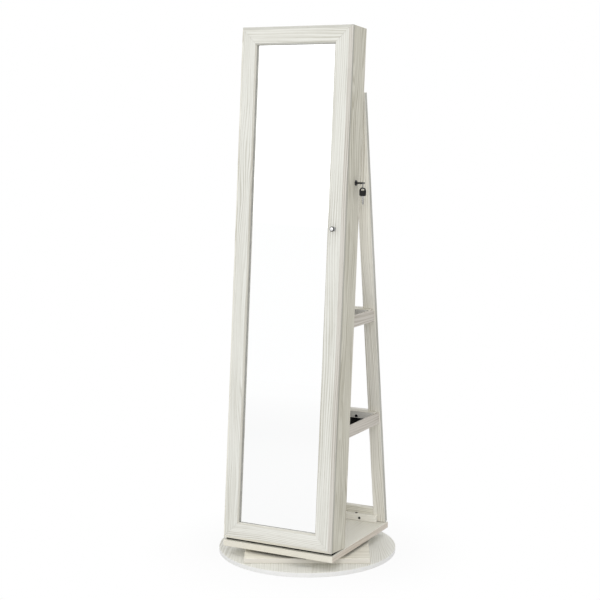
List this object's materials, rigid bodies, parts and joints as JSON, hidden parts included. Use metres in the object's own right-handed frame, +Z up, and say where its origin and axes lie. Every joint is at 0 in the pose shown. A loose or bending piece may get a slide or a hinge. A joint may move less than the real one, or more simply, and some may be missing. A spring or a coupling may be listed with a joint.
{
  "type": "rotating jewelry armoire",
  "caption": "Tall mirror-door jewelry cabinet leaning on rear legs with open trays, turning on a round base through a ball bearing.",
  "frame": {"origin": "on the turntable's axis at the floor", "axes": "+Z up, the mirror door faces -Y, +X to the viewer's right"},
  "size_m": [0.549, 0.549, 1.6041],
  "materials": {
    "whitewash": "satin whitewashed wood-grain foil",
    "edge_banded_board": "satin whitewashed foil with a beige edge band",
    "black_velvet": "short pile",
    "mirror": "polished",
    "chrome": "polished",
    "black_nickel": "satin black",
    "nickel": "satin",
    "zinc_steel": "zinc plated",
    "acrylic": "clear",
    "black_plastic": "satin",
    "rubber": "matte"
  },
  "bodies": {
    "base": {"base_disc": "whitewash", "base_platform": "whitewash", "base_pad_1": "rubber", "base_pad_2": "rubber", "base_pad_3": "rubber", "base_pad_4": "rubber", "bearing_lower_plate": "zinc_steel"},
    "ball_cage": {"bearing_ball_cage": "zinc_steel"},
    "armoire": {"bearing_upper_plate": "zinc_steel", "swivel_board": "edge_banded_board", "cabinet_wedge": "whitewash", "side_panel_left": "whitewash", "side_panel_right": "whitewash", "top_panel": "whitewash", "bottom_panel": "whitewash", "back_panel": "whitewash", "velvet_liner": "black_velvet", "leg_left": "whitewash", "leg_right": "whitewash", "leg_stretcher": "whitewash", "rear_foot_rail": "whitewash", "foot_batten": "whitewash", "upper_cross_rail": "whitewash", "lower_cross_rail": "whitewash", "upper_tray_left_rail": "whitewash", "upper_tray_right_rail": "whitewash", "upper_tray_rear_rail": "whitewash", "upper_tray_floor": "black_velvet", "lower_tray_left_rail": "whitewash", "lower_tray_right_rail": "whitewash", "lower_tray_rear_rail": "whitewash", "lower_tray_floor": "black_velvet", "shelf_1": "whitewash", "shelf_2": "whitewash", "shelf_guard_1": "acrylic", "shelf_guard_2": "acrylic", "ring_shelf": "whitewash", "ring_cushion": "black_velvet", "earring_bar": "whitewash", "necklace_rail": "whitewash", "magnet_catch": "black_plastic", "lock_housing": "black_nickel", "hinge_carcass_leaf_1": "nickel", "hinge_carcass_leaf_2": "nickel", "hinge_carcass_leaf_3": "nickel"},
    "door": {"door_stile_left": "whitewash", "door_stile_right": "whitewash", "door_rail_top": "whitewash", "door_rail_bottom": "whitewash", "mirror_glass": "mirror", "mirror_backing": "black_velvet", "door_knob": "chrome", "lock_strike": "nickel", "hinge_door_leaf_1": "nickel", "hinge_door_leaf_2": "nickel", "hinge_door_leaf_3": "nickel"},
    "lock": {"lock_plug": "black_nickel", "lock_key": "black_plastic"},
    "spare_key": {"key_ring": "chrome", "spare_key": "black_plastic"}
  },
  "joints": [
    {"name": "turntable_spin", "type": "hinge", "parent": "base", "child": "armoire", "pos_m": [0, 0, 0.0355], "axis": [0, 0, 1], "continuous": true},
    {"name": "cage_spin", "type": "hinge", "parent": "base", "child": "ball_cage", "pos_m": [0, 0, 0.0355], "axis": [0, 0, 1], "continuous": true},
    {"name": "door_hinge", "type": "hinge", "parent": "armoire", "child": "door", "pos_m": [-0.1864, -0.19132, 0.06699], "axis": [0, -0.0872, -0.9962], "range_deg": [0, 120]},
    {"name": "key_turn", "type": "hinge", "parent": "armoire", "child": "lock", "pos_m": [0.183, -0.04726, 1.14855], "axis": [1, 0, 0], "range_deg": [0, 90]},
    {"name": "spare_key_swing", "type": "hinge", "parent": "lock", "child": "spare_key", "pos_m": [0.2087, -0.05419, 1.14175], "axis": [0.866, 0.5, 0], "range_deg": [-45, 20]}
  ],
  "couplings": [
    {"joint": "cage_spin", "follows": "turntable_spin", "ratio": 0.5}
  ]
}
